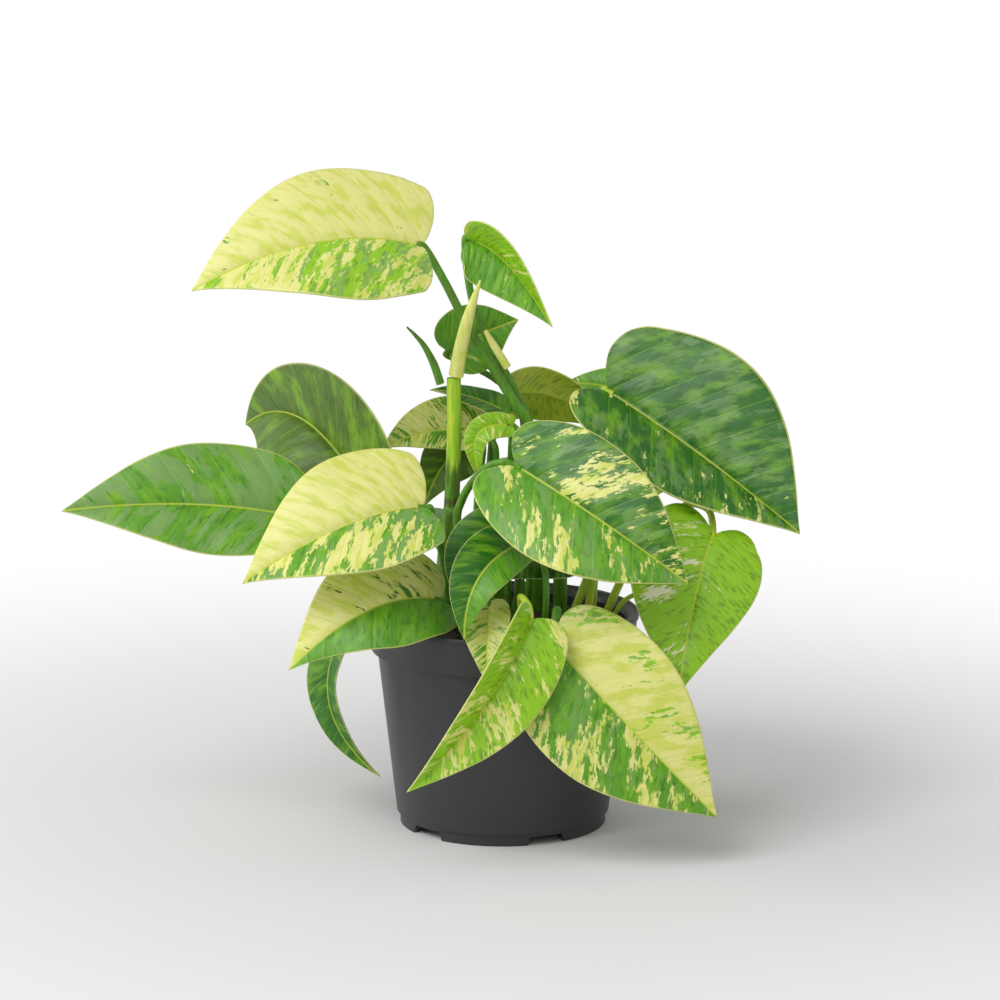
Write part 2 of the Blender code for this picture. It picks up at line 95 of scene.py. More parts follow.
# base, middle and tip of the midrib; half widths left and right of it; face = (turn, tilt) of the
# upper side, degrees from the front and up from level; twist along the midrib; folds and curls of
# the left and right halves, degrees; wave of the margin, mm; size of the two lobes; belly, which is
# below 1 where the widest part lies nearer the tip; and a green.
LEAVES = (
    Leaf("leaf_top_left", (-36, -6, 266), (-84, -19, 269), (-137, -30, 249),
         (38, 37), (-5, 45), 0, (14, 14), (15, 15), 1.2, 0.5, 0.9, "lime"),
    Leaf("leaf_top_folded", (-15, 4, 267), (2, -1, 257), (22, -12, 230),
         (14, 18), (-20, 30), 0, (62, 10), (0, 0), 0.5, 1.0, 0.9, "lime"),
    Leaf("leaf_behind_bud", (-24, 19, 214), (-9, 21, 222), (7, 16, 229),
         (16, 16), (5, 20), 0, (8, 8), (10, 10), 0.8, 1.0, 1.0, "mid"),
    Leaf("leaf_right_dark", (48, 18, 196), (91, -2, 169), (133, -22, 138),
         (46, 36), (5, 31), 0, (20, 32), (10, 10), 1.2, 1.2, 0.85, "dark"),
    Leaf("leaf_front_middle", (6, -42, 173), (44, -64, 152), (81, -72, 126),
         (31, 34), (5, 28), 0, (16, 14), (12, 12), 1.2, 1.2, 0.95, "mid"),
    Leaf("leaf_back_pale", (2, 32, 192), (25, 44, 189), (52, 54, 170),
         (18, 13), (180, 25), 0, (8, 8), (10, 10), 1.0, 0.6, 1.0, "pale"),
    Leaf("leaf_back_right", (82, 56, 176), (56, 66, 188), (28, 72, 190),
         (20, 14), (0, 40), 0, (10, 10), (10, 10), 1.0, 1.0, 1.0, "mid"),
    Leaf("leaf_left_back_light", (-10, 18, 176), (-33, 20, 177), (-55, 14, 170),
         (10, 16), (0, 30), 0, (10, 10), (10, 15), 1.0, 1.0, 1.0, "cream"),
    # This blade is the hanging lower half of leaf_left_back_light; its olive green is painted shade.
    Leaf("leaf_left_back_dark", (-14, 28, 170), (-27, 28, 160), (-36, 24, 141),
         (13, 13), (0, 10), 0, (10, 10), (10, 10), 1.0, 1.0, 1.0, "olive"),
    Leaf("leaf_thin_edge", (1, 10, 188), (-15, 15, 194), (-33, 15, 197),
         (9, 9), (0, 70), 0, (10, 10), (10, 10), 0.5, 1.0, 1.0, "dark"),
    Leaf("leaf_young_ribbon", (4, -4, 184), (-12, -11, 180), (-8, -14, 157),
         (7, 6), (0, 25), 0, (15, 15), (10, 10), 0.5, 0.3, 1.0, "pale"),
    Leaf("leaf_far_left", (-97, -12, 145), (-145, -18, 151), (-197, -25, 149),
         (25, 30), (0, 35), 0, (12, 12), (14, 14), 1.5, 1.0, 1.0, "mid"),
    # Its olive green is painted shade.
    Leaf("leaf_left_arched", (-62, 6, 150), (-92, 26, 182), (-120, 64, 172),
         (36, 30), (-10, 35), 0, (0, 50), (10, 10), 1.0, 1.0, 1.0, "olive"),
    Leaf("leaf_cream", (-35, -48, 156), (-71, -60, 149), (-114, -66, 125),
         (33, 33), (0, 42), 0, (23, 12), (14, 14), 1.2, 0.6, 0.9, "cream"),
    Leaf("leaf_over_rim", (-28, -42, 113), (-60, -62, 112), (-94, -66, 86),
         (22, 29), (-5, 50), 0, (-10, 15), (10, 10), 1.2, 1.0, 1.0, "mid"),
    Leaf("leaf_hanging_left", (-71, 4, 90), (-79, -8, 56), (-56, -12, 23),
         (11, 11), (-50, 10), 0, (20, 20), (10, 10), 0.8, 0.3, 1.0, "dark"),
    Leaf("leaf_centre_small", (8, -46, 139), (-11, -66, 127), (-17, -72, 101),
         (12, 14), (0, 25), 0, (12, 12), (10, 10), 0.8, 1.0, 1.0, "mid"),
    Leaf("leaf_centre_dark", (1, -30, 143), (-14, -40, 131), (-19, -46, 110),
         (13, 14), (0, 25), 0, (10, 10), (10, 10), 0.8, 1.0, 1.0, "dark"),
    Leaf("leaf_inner_dark", (34, -28, 132), (17, -34, 130), (-2, -38, 120),
         (13, 13), (0, 30), 0, (10, 10), (10, 10), 0.8, 1.0, 1.0, "dark"),
    Leaf("leaf_rim_small", (-6, -50, 113), (-7, -62, 102), (-7, -70, 80),
         (10, 12), (0, 20), 0, (10, 10), (10, 10), 0.8, 1.0, 1.0, "cream"),
    Leaf("leaf_front_folded", (12, -72, 110), (-8, -90, 76), (-42, -90, 37),
         (22, 18), (10, 15), 0, (10, 55), (8, 0), 1.0, 0.5, 1.0, "lime"),
    Leaf("leaf_front_right", (23, -66, 97), (57, -79, 62), (94, -80, 23),
         (33, 36), (0, 20), 0, (10, 10), (10, 10), 1.5, 1.0, 0.95, "cream"),
    Leaf("leaf_right_lime", (94, -25, 138), (85, -45, 113), (77, -62, 73),
         (27, 34), (5, 15), 0, (8, 8), (10, 10), 1.5, 1.6, 1.05, "lime"),
    Leaf("leaf_right_tiny", (99, -5, 102), (105, -8, 109), (114, -8, 118),
         (5, 5), (0, 30), 0, (10, 10), (10, 10), 0.5, 0.3, 1.0, "pale"),
    Leaf("leaf_back_middle", (20, 52, 150), (25, 82, 152), (32, 112, 128),
         (28, 28), (180, 50), 0, (12, 12), (14, 14), 1.5, 1.0, 1.0, "mid"),
    Leaf("leaf_back_left", (-38, 50, 128), (-58, 78, 128), (-78, 102, 104),
         (26, 26), (-160, 55), 0, (12, 12), (14, 14), 1.5, 1.0, 1.0, "mid"),
)

# Leaf it carries, route from its root outwards (a first point of two numbers stands on the soil;
# the leaf's joint is added at the end), and radii at the root and at the leaf.
STALKS = (
    Stalk("stalk_top_left", "leaf_top_left",
          ((16, 8), (17, 5, 150), (13, 3, 180), (6, 3, 192), (-2, 3, 205), (-15, 0, 227),
           (-26, -3, 249)), (2.9, 2.0), "mid"),
    Stalk("stalk_top_folded", "leaf_top_folded",
          ((12, 14), (14, 12, 150), (12, 11, 180), (5, 11, 198), (-6, 10, 219), (-14, 8, 240)),
          (2.3, 1.8), "mid"),
    Stalk("stalk_behind_bud", "leaf_behind_bud",
          ((6, 22), (10, 24, 150), (8, 24, 188), (-3, 23, 200), (-17, 22, 208)), (1.7, 1.4), "mid"),
    Stalk("stalk_right_dark", "leaf_right_dark",
          ((40, 20), (46, 26, 130), (72, 34, 150), (76, 34, 172), (60, 28, 192)),
          (2.4, 1.9), "pale"),
    Stalk("stalk_front_middle", "leaf_front_middle",
          ((-10, -20), (-20, -20, 138), (-18, -21, 154), (-9, -33, 169), (-1, -40, 174)),
          (2.0, 1.7), "mid"),
    Stalk("stalk_back_pale", "leaf_back_pale",
          ((-2, 26), (-6, 26, 150), (-3, 27, 184)), (1.9, 1.5), "mid"),
    Stalk("stalk_back_right", "leaf_back_right",
          ((32, 30), (52, 42, 130), (86, 54, 152), (90, 57, 170)), (2.0, 1.6), "pale"),
    Stalk("stalk_left_back_light", "leaf_left_back_light",
          ((-8, 10), (-6, 12, 140), (-3, 14, 168)), (1.6, 1.4), "mid"),
    Stalk("stalk_left_back_dark", "leaf_left_back_dark",
          ((-12, 22), (-12, 30, 140), (-9, 34, 166)), (1.6, 1.4), "mid"),
    Stalk("stalk_thin_edge", "leaf_thin_edge",
          ((2, 4), (3, 6, 150), (4, 8, 180)), (1.7, 1.4), "mid"),
    Stalk("stalk_young_ribbon", "leaf_young_ribbon",
          ((8, -2), (9, -3, 150), (9, -3, 176)), (1.7, 1.4), "mid"),
    Stalk("stalk_far_left", "leaf_far_left",
          ((-36, 2), (-48, 0, 116), (-74, -6, 140), (-90, -10, 144)), (2.2, 1.7), "mid"),
    Stalk("stalk_left_arched", "leaf_left_arched",
          ((-32, 12), (-40, 12, 120), (-54, 10, 142)), (2.2, 1.7), "mid"),
    Stalk("stalk_cream", "leaf_cream",
          ((-24, -24), (-27, -26, 128), (-31, -36, 146), (-32, -44, 154)), (1.9, 1.6), "mid"),
    Stalk("stalk_over_rim", "leaf_over_rim",
          ((-18, -26), (-20, -34, 108)), (1.8, 1.5), "mid"),
    Stalk("stalk_hanging_left", "leaf_hanging_left",
          ((-46, 8), (-54, 9, 104), (-65, 9, 101)), (1.6, 1.4), "mid"),
    Stalk("stalk_centre_small", "leaf_centre_small",
          ((18, -42), (19, -46, 122), (15, -40, 134)), (1.6, 1.4), "mid"),
    Stalk("stalk_centre_dark", "leaf_centre_dark",
          ((4, -20), (8, -22, 130)), (1.6, 1.4), "mid"),
    Stalk("stalk_inner_dark", "leaf_inner_dark",
          ((36, -22), (40, -27, 122)), (1.8, 1.5), "pale"),
    Stalk("stalk_rim_small", "leaf_rim_small",
          ((-8, -38), (-8, -43, 108)), (1.5, 1.3), "mid"),
    Stalk("stalk_front_folded", "leaf_front_folded",
          ((9, -45), (8, -54, 112), (8, -62, 118), (11, -69, 116)), (1.8, 1.5), "pale"),
    Stalk("stalk_front_right", "leaf_front_right",
          ((25, -42), (24, -52, 109), (23, -59, 107)), (2.2, 1.7), "mid"),
    Stalk("stalk_right_lime", "leaf_right_lime",
          ((44, 2), (58, 6, 118), (80, 4, 144), (92, -10, 147)), (2.0, 1.6), "pale"),
    Stalk("stalk_right_tiny", "leaf_right_tiny",
          ((46, -10), (56, -8, 105), (76, -6, 108)), (1.2, 1.0), "pale"),
    Stalk("stalk_back_middle", "leaf_back_middle",
          ((14, 32), (18, 40, 130)), (2.1, 1.7), "mid"),
    Stalk("stalk_back_left", "leaf_back_left",
          ((-20, 34), (-28, 42, 116)), (2.1, 1.7), "mid"),
)

# Vines: route (the first point stands on the soil) and radii from the bottom to the top.
VINES = (
    ("vine_left", ((-29, -14), (-27, -13, 118), (-24, -9, 142), (-23, -7, 150), (-22, -6, 178),
                   (-22, -5, 206)), (3.4, 3.3, 3.6, 3.5, 3.3, 3.2)),
    ("vine_right", ((26, 4), (26, 2, 120), (25, 0, 150), (22, -1, 176)), (3.2, 3.2, 3.0, 2.6)),
    ("vine_front", ((-2, -8), (-2, -10, 112), (-1, -12, 128)), (3.0, 3.0, 2.6)),
)

# Sheaths: papery sleeves and pointed bud scales, as tapering bodies.
SHEATHS = (
    ("sheath_bud", ((-21, -6, 207), (-19, -7, 219), (-16, -9, 232), (-13, -10, 242), (-10, -11, 251)),
     (3.4, 3.2, 2.8, 1.8, 0.4), "cream"),
    ("sheath_point", ((-28, -4, 203), (-31, -4, 212), (-35, -5, 220), (-39, -5, 225),
                      (-43, -5, 229)), (1.9, 1.8, 1.3, 0.9, 0.4), "mid"),
    ("sheath_wing", ((-8, -3, 227), (-4, -2, 220), (2, 0, 210)), (1.0, 1.8, 1.9), "cream"),
)

# The pot: radius and height, up the outside and down the inside.
POT_PROFILE = (
    (44.8, 0.0), (47.0, 0.0), (47.0, 5.0), (48.0, 5.1), (48.6, 5.7), (57.2, 81.2), (60.0, 81.2), (60.1, 81.9),
    (61.1, 94.6), (61.3, 95.3), (62.0, 95.8), (62.0, 97.3), (61.7, 97.8), (61.2, 98.0), (60.6, 97.8),
    (60.4, 97.2), (57.1, 96.0), (55.8, 94.0), (55.8, 81.2), (47.2, 6.8), (46.6, 6.1), (0.001, 6.1),
    (0.001, 4.6), (44.8, 4.6),
)
FOOT_COUNT = 5
FOOT_NOTCH_ANGLE = 22.0
FOOT_NOTCH_HEIGHT = 3.8
FIRST_NOTCH_MIDDLE = 25.0
SOIL_FALL = 7.5
SOIL_RADIUS = 55.0
# Crumbs: distance from the pot's wall, mm, how flat they lie and how far their corners vary.
CRUMB_CLEARANCE = 3.0
CRUMB_FLATNESS = 0.7
CRUMB_CORNERS = (0.6, 1.1)
TUBE_STEPS = 10
# Where a stalk runs into its blade, mm: below and behind the foot of the midrib, then inside it.
FOOT_DROP = 1.6
FOOT_BACK = 2.2
INNER_DROP = 0.7
INNER_REACH = 2.5
# Edges that bend by more than these angles stay sharp, degrees.
STEM_SMOOTHING = 50.0
POT_SMOOTHING = 32.0
# Heights between which the main vine turns pale, metres.
PALE_FROM = 0.168
PALE_ABOVE = 0.176
# Stage, metres: floor, distances between which it turns plain white, camera and lamps.
FLOOR_SIZE = 40.0
WHITE_FROM = 0.16
WHITE_BEYOND = 0.62
CAMERA_SIDE = -0.0013
CAMERA_DISTANCE = 1.8
CAMERA_HEIGHT = 0.511
CAMERA_TILT = 11.37
LAMP_AIM = Vector((0.03, 0.0, 0.15))
KEY_PLACE = (-0.9, -1.3, 1.9)
KEY_WIDTH = 1.4
SIDE_PLACE = (-1.6, 0.2, 0.7)
SIDE_WIDTH = 1.0

# Display colours, in steps of 255.
TINTS = {
    "cream": (232, 230, 140),
    "ivory": (240, 240, 200),
    "yellow": (200, 214, 62),
    "lime": (148, 204, 26),
    "leaf": (92, 158, 26),
    "deep": (40, 108, 14),
    "dark": (24, 76, 12),
    "olive": (84, 116, 20),
    # Painted reflection: grey-green that stands for the sky reflected in the leaves' sheen.
    "grey": (128, 164, 96),
    "brown": (74, 58, 28),
    "peat": (44, 30, 20),
}

# Marbling: pale share and green of the left half, then of the right half, the pale colour, the share of
# grey-green patches that are painted reflection of the sky in the sheen, and a seed. Left is on the left of
# someone looking from the base to the tip.
Marbling = namedtuple("Marbling", "left left_green right right_green pale grey seed")
MARBLINGS = {
    "leaf_top_left": Marbling(0.46, "lime", 0.78, "leaf", "cream", 0.42, 1),
    "leaf_top_folded": Marbling(0.35, "lime", 0.35, "leaf", "cream", 0.20, 2),
    "leaf_behind_bud": Marbling(0.20, "leaf", 0.20, "leaf", "cream", 0.10, 3),
    "leaf_right_dark": Marbling(0.12, "deep", 0.34, "deep", "cream", 0.30, 4),
    "leaf_front_middle": Marbling(0.34, "deep", 0.42, "leaf", "cream", 0.36, 5),
    "leaf_back_pale": Marbling(0.20, "yellow", 0.20, "yellow", "cream", 0.10, 6),
    "leaf_back_right": Marbling(0.25, "leaf", 0.25, "leaf", "cream", 0.20, 7),
    "leaf_left_back_light": Marbling(0.60, "leaf", 0.60, "leaf", "cream", 0.20, 8),
    # Painted shade: this blade is the hanging lower half of leaf_left_back_light, and its dull olive stands
    # for the shade it lies in.
    "leaf_left_back_dark": Marbling(0.05, "olive", 0.05, "olive", "yellow", 0.05, 9),
    "leaf_thin_edge": Marbling(0.10, "deep", 0.10, "deep", "cream", 0.10, 10),
    "leaf_young_ribbon": Marbling(0.40, "lime", 0.40, "lime", "cream", 0.10, 11),
    "leaf_far_left": Marbling(0.16, "leaf", 0.26, "leaf", "cream", 0.52, 12),
    # Painted shade: the olive of leaf_left_arched stands for the shade over its broad half.
    "leaf_left_arched": Marbling(0.06, "olive", 0.06, "olive", "yellow", 0.05, 13),
    "leaf_cream": Marbling(0.48, "leaf", 0.86, "leaf", "cream", 0.45, 14),
    "leaf_over_rim": Marbling(0.10, "leaf", 0.64, "deep", "cream", 0.20, 15),
    "leaf_hanging_left": Marbling(0.10, "deep", 0.10, "deep", "cream", 0.10, 16),
    "leaf_centre_small": Marbling(0.18, "leaf", 0.12, "deep", "cream", 0.20, 17),
    "leaf_centre_dark": Marbling(0.10, "deep", 0.14, "deep", "cream", 0.20, 18),
    "leaf_inner_dark": Marbling(0.10, "dark", 0.10, "dark", "cream", 0.10, 19),
    "leaf_rim_small": Marbling(0.66, "leaf", 0.60, "leaf", "cream", 0.25, 20),
    "leaf_front_folded": Marbling(0.42, "lime", 0.42, "lime", "cream", 0.10, 21),
    "leaf_front_right": Marbling(0.66, "lime", 0.42, "leaf", "cream", 0.32, 22),
    "leaf_right_lime": Marbling(0.26, "lime", 0.38, "lime", "ivory", 0.05, 23),
    "leaf_right_tiny": Marbling(0.30, "yellow", 0.30, "yellow", "cream", 0.05, 24),
    "leaf_back_middle": Marbling(0.30, "leaf", 0.50, "deep", "cream", 0.30, 25),
    "leaf_back_left": Marbling(0.36, "leaf", 0.24, "leaf", "cream", 0.35, 26),
}
STEM_TINTS = {"mid": ("leaf", "olive"), "pale": ("yellow", "lime"), "cream": ("cream", "yellow")}


def paint(name):
    """Shader colour of a named tint."""
    shares = [step / 255 for step in TINTS[name]]
    return (*[((share + 0.055) / 1.055) ** 2.4 for share in shares], 1.0)


class Signal:
    """A shader socket that takes plain arithmetic; node() adds any other kind of node."""

    def __init__(self, tree, socket=None):
        self.tree = tree
        self.socket = socket

    def node(self, kind, inputs, output=0, **settings):
        added = self.tree.nodes.new(kind)
        for setting, value in settings.items():
            setattr(added, setting, value)
        for place, value in inputs.items():
            if isinstance(value, Signal):
                self.tree.links.new(value.socket, added.inputs[place])
            else:
                added.inputs[place].default_value = value
        return Signal(self.tree, added.outputs[output])

    def maths(self, operation, *values):
        return self.node("ShaderNodeMath", dict(enumerate(values)), operation=operation)

    def __add__(self, other):
        return self.maths("ADD", self, other)

    def __radd__(self, other):
        return self.maths("ADD", other, self)

    def __sub__(self, other):
        return self.maths("SUBTRACT", self, other)

    def __rsub__(self, other):
        return self.maths("SUBTRACT", other, self)

    def __mul__(self, other):
        return self.maths("MULTIPLY", self, other)

    def __rmul__(self, other):
        return self.maths("MULTIPLY", other, self)

    def __truediv__(self, other):
        return self.maths("DIVIDE", self, other)

    def __rtruediv__(self, other):
        return self.maths("DIVIDE", other, self)


def step_up(signal, low, high):
    """0 below the low value, 1 above the high one and smooth between them."""
    places = {"Value": signal, "From Min": low, "From Max": high, "To Min": 0.0, "To Max": 1.0}
    return signal.node("ShaderNodeMapRange", places, interpolation_type="SMOOTHSTEP")


def blend(share, first, second):
    """The first colour where the share is 0, the second where it is 1."""
    return share.node("ShaderNodeMix", {0: share, 6: first, 7: second}, output=2, data_type="RGBA")


def clouds(vector, scale, detail):
    """Smooth noise around 0.5."""
    places = {"Vector": vector, "Scale": scale, "Detail": detail, "Roughness": 0.55}
    return vector.node("ShaderNodeTexNoise", places)


def new_material(name, roughness):
    """A material, its shader and a signal that starts its node tree."""
    finish = bpy.data.materials.new(name)
    finish.use_nodes = True
    shader = finish.node_tree.nodes["Principled BSDF"]
    shader.inputs["Roughness"].default_value = roughness
    return finish, shader, Signal(finish.node_tree)


def plug(signal, shader, name):
    """Lead a signal into an input of the shader."""
    signal.tree.links.new(signal.socket, shader.inputs[name])


def bumps(shader, height, distance):
    """Lead a height signal into the shader's normal."""
    places = {"Height": height, "Distance": distance, "Strength": 1.0}
    plug(height.node("ShaderNodeBump", places), shader, "Normal")


def use_only(piece):
    """Leave one object selected and active."""
    bpy.ops.object.select_all(action="DESELECT")
    piece.select_set(True)
    bpy.context.view_layer.objects.active = piece


def edit_all(operator, **settings):
    """Run a mesh operator on every part of the active object."""
    bpy.ops.object.mode_set(mode="EDIT")
    bpy.ops.mesh.select_all(action="SELECT")
    operator(**settings)
    bpy.ops.object.mode_set(mode="OBJECT")


def settle(piece, node):
    """Hang a finished piece on the body in place of its CAD node."""
    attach(piece, "root")
    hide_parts(node)


def spline(points, count):
    """Points spread evenly over a smooth curve through the given ones."""
    points = np.array(points, float)
    padded = np.vstack([2 * points[0] - points[1], points, 2 * points[-1] - points[-2]])
    steps = np.linspace(0, len(points) - 1, count)
    index = np.minimum(steps.astype(int), len(points) - 2)
    part = (steps - index)[:, None]
    before, start, end, after = (padded[index + shift] for shift in range(4))
    return 0.5 * (2 * start + (end - before) * part
                  + (2 * before - 5 * start + 4 * end - after) * part ** 2
                  + (3 * start - before - 3 * end + after) * part ** 3)


def unit(vectors):
    """Vectors of length 1."""
    return vectors / np.linalg.norm(vectors, axis=-1, keepdims=True)


def midrib(leaf, along):
    """Places on the midrib and directions along it, for shares of its length."""
    base, middle, tip = (np.array(point, float) for point in (leaf.base, leaf.middle, leaf.tip))
    control = 2 * middle - (base + tip) / 2
    share = np.maximum(along, 0)[..., None]
    place = (1 - share) ** 2 * base + 2 * share * (1 - share) * control + share ** 2 * tip
    direction = 2 * (1 - share) * (control - base) + 2 * share * (tip - control)
    return place + direction * np.minimum(along, 0)[..., None], unit(direction)


def leaf_length(leaf):
    """Length of the midrib in millimetres."""
    places, _ = midrib(leaf, np.linspace(0, 1, LENGTH_STEPS))
    return np.linalg.norm(np.diff(places, axis=0), axis=1).sum()


def blade_axes(leaf, along):
    """Upward and rightward directions of the blade at shares of its length."""
    turn, tilt = np.radians(leaf.face)
    face = np.array((math.sin(turn) * math.cos(tilt), -math.cos(turn) * math.cos(tilt), math.sin(tilt)))
    _, direction = midrib(leaf, along)
    upward = unit(face - direction * (direction @ face)[..., None])
    angle = np.radians(leaf.twist * along)[..., None]
    upward = upward * np.cos(angle) + np.cross(direction, upward) * np.sin(angle)
    return upward, np.cross(direction, upward)


def blade_places(leaf, row, reach, sizes):
    """Places of the blade in millimetres, with the flat, marbling and edge coordinates of each."""
    outline = spline(HALF_OUTLINE, OUTLINE_STEPS + 1)
    steps = np.linspace(0, 1, OUTLINE_STEPS + 1)
    edge_along = np.interp(row, steps, outline[:, 0])
    edge_along = np.where(edge_along < 0, edge_along * leaf.lobes,
                          np.abs(edge_along) ** leaf.belly)
    edge_width = np.interp(row, steps, outline[:, 1])
    beyond = np.maximum(row - LOBE_ROWS, 0) / (1 - LOBE_ROWS)
    root = np.where(row < LOBE_ROWS, LOBE_ROOT * row / LOBE_ROWS,
                    LOBE_ROOT + (1 - LOBE_ROOT) * beyond ** ROOT_SPREAD)
    along = root + (edge_along - root) * np.abs(reach) ** ROW_BOW
    side = (reach > 0).astype(int)
    half = np.array(leaf.widths, float)[side]
    fold = np.radians(np.array(leaf.folds, float))[side]
    curl = np.radians(np.array(leaf.curls, float))[side] + LEAST_CURL
    share = edge_width * np.abs(reach)
    out = half / curl * (np.sin(fold) - np.sin(fold - curl * share))
    lift = half / curl * (np.cos(fold - curl * share) - np.cos(fold))
    length = leaf_length(leaf)
    lift += leaf.wave * share ** 2 * np.sin(math.tau * MARGIN_WAVES * along + HALVES_APART * side
                                             + length)
    flat = half * share
    vein = along * length - sizes.vein_slope * flat
    spacing = length / sizes.vein_count
    puff = np.abs(np.sin(math.pi * vein / spacing)) ** 0.7
    fade = np.clip(flat / SWELL_START, 0, 1) * (1 - np.abs(reach) ** 6)
    fade *= np.clip(half / FULL_SWELL_WIDTH, 0.2, 1)
    lift += sizes.quilting / MM * puff * fade
    groove = np.clip(half / FULL_GROOVE_WIDTH, 0.4, 1) * (1 - np.clip(along, 0, 1) ** 3)
    lift -= sizes.groove / MM * groove * np.exp(-(flat / GROOVE_WIDTH) ** 2)
    place, _ = midrib(leaf, along)
    upward, right = blade_axes(leaf, along)
    sign = np.where(side > 0, 1.0, -1.0)
    place = place + right * (sign * out)[..., None] + upward * lift[..., None]
    return place, np.stack([along * length, sign * flat, vein / spacing], axis=-1), np.abs(reach)


def leaf_material(leaf, sizes):
    """Glossy leathery blade with streaky marbling along its side veins and grey-green patches of painted
    reflection.
    """
    look = MARBLINGS[leaf.name]
    finish, shader, start = new_material(f"{leaf.name}_finish", 0.38)
    shader.inputs["Coat Roughness"].default_value = 0.25
    blade = start.node("ShaderNodeAttribute", {}, output=1, attribute_name="blade")
    edge = start.node("ShaderNodeAttribute", {}, output=2, attribute_name="edge")
    along = blade.node("ShaderNodeSeparateXYZ", {0: blade})
    across = blade.node("ShaderNodeSeparateXYZ", {0: blade}, output=1)
    vein = blade.node("ShaderNodeSeparateXYZ", {0: blade}, output=2)
    right = step_up(across, -0.3, 0.3)
    layer = right * 9.0 + look.seed * 3.7

    def streaks(vein_scale, across_scale, detail, shift):
        places = {0: vein * vein_scale, 1: across * across_scale, 2: layer + shift}
        return clouds(start.node("ShaderNodeCombineXYZ", places), 1.0, detail)

    sectors = streaks(0.75, 0.035, 2.0, 0.0)
    stripes = streaks(3.2, 0.10, 4.0, 1.3)
    flecks = streaks(8.0, 0.42, 3.0, 2.1)
    mottle = sectors * 0.46 + stripes * 0.34 + flecks * 0.20
    limit = 0.5 + (0.5 - (look.left + right * (look.right - look.left))) * 0.42
    pale = step_up(mottle - limit, -0.012, 0.022)
    tone = streaks(1.6, 0.08, 3.0, 4.4)
    green = blend(right, paint(look.left_green), paint(look.right_green))
    green = blend(step_up(tone, 0.42, 0.70) * 0.45, green, paint("lime"))
    green = blend(step_up(streaks(5.0, 0.2, 4.0, 6.6), 0.5, 0.66) * 0.45, green, paint("dark"))
    # Painted reflection: grey-green patches stand for the sky reflected in the blade's sheen.
    patch = step_up(streaks(1.9, 0.07, 4.0, 8.1), 0.62 - look.grey * 0.3, 0.66 - look.grey * 0.3)
    green = blend(patch * (look.grey * 1.3), green, paint("grey"))
    cream = blend(step_up(streaks(2.4, 0.1, 3.0, 3.3), 0.46, 0.62) * 0.7, paint(look.pale), paint("yellow"))
    colour = blend(pale, green, cream)
    ridge = (vein * math.pi).maths("SINE", vein * math.pi)
    crease = 1.0 - step_up(ridge.maths("ABSOLUTE", ridge), 0.0, 0.16)
    colour = blend(crease * 0.22, colour, paint("lime"))
    centre = 1.0 - step_up(across.maths("ABSOLUTE", across), 0.25, 0.8)
    colour = blend(centre * 0.75, colour, paint("yellow"))
    colour = blend(step_up(edge, 0.975, 0.99) * 0.7, colour, paint("cream"))
    plug(colour, shader, "Base Color")
    plug(0.30 + clouds(start.node("ShaderNodeCombineXYZ", {0: along, 1: across, 2: layer}), 0.4, 3.0) * 0.2,
         shader, "Roughness")
    fine = clouds(start.node("ShaderNodeCombineXYZ", {0: along, 1: across, 2: layer}), 1.6, 3.0)
    bumps(shader, fine * 0.5 - crease * 0.6 + flecks * 0.4, sizes.fine_relief)
    return finish


def add_leaf(leaf, sizes):
    """A fine blade from a grid: shaped, welded at its ends and given its thickness."""
    bpy.ops.mesh.primitive_grid_add(x_subdivisions=sizes.columns, y_subdivisions=sizes.rows, size=2)
    piece = bpy.context.active_object
    piece.name = f"{leaf.name}_blade"
    mesh = piece.data
    mesh.uv_layers[0].name = "OFBake"
    flat = np.array([vertex.co for vertex in mesh.vertices])
    place, blade, edge = blade_places(leaf, (flat[:, 1] + 1) / 2, flat[:, 0], sizes)
    mesh.vertices.foreach_set("co", (place * MM + np.array(AXIS)).ravel())
    mesh.attributes.new("blade", "FLOAT_VECTOR", "POINT").data.foreach_set("vector", blade.ravel())
    mesh.attributes.new("edge", "FLOAT", "POINT").data.foreach_set("value", edge)
    use_only(piece)
    edit_all(bpy.ops.mesh.remove_doubles, threshold=LEAF_WELD)
    skin = piece.modifiers.new("thickness", "SOLIDIFY")
    skin.thickness = sizes.thickness
    skin.offset = 0
    bpy.ops.object.modifier_apply(modifier=skin.name)
    edit_all(bpy.ops.mesh.normals_make_consistent, inside=False)
    bpy.ops.object.shade_smooth()
    mesh.materials.append(leaf_material(leaf, sizes))
    settle(piece, leaf.name)


def soil_height(x, y):
    """Height of the soil in millimetres."""
    return SOIL_TOP - SOIL_FALL * min(math.hypot(x, y) / SOIL_RADIUS, 1) ** 2


def stem_material(name, tints, sizes):
    """Waxy stem, streaked lengthwise in two greens."""
    finish, shader, start = new_material(name, 0.42)
    place = start.node("ShaderNodeTexCoord", {}, output=3)
    stretched = start.node("ShaderNodeMapping", {"Vector": place, "Scale": (700.0, 700.0, 90.0)})
    streak = step_up(clouds(stretched, 1.0, 3.0), 0.40, 0.62)
    patch = step_up(clouds(place, 70.0, 3.0), 0.42, 0.66)
    colour = blend(streak * 0.55 + patch * 0.35, paint(tints[0]), paint(tints[1]))
    plug(colour, shader, "Base Color")
    bumps(shader, clouds(stretched, 1.6, 2.0), sizes.fine_relief)
    return finish


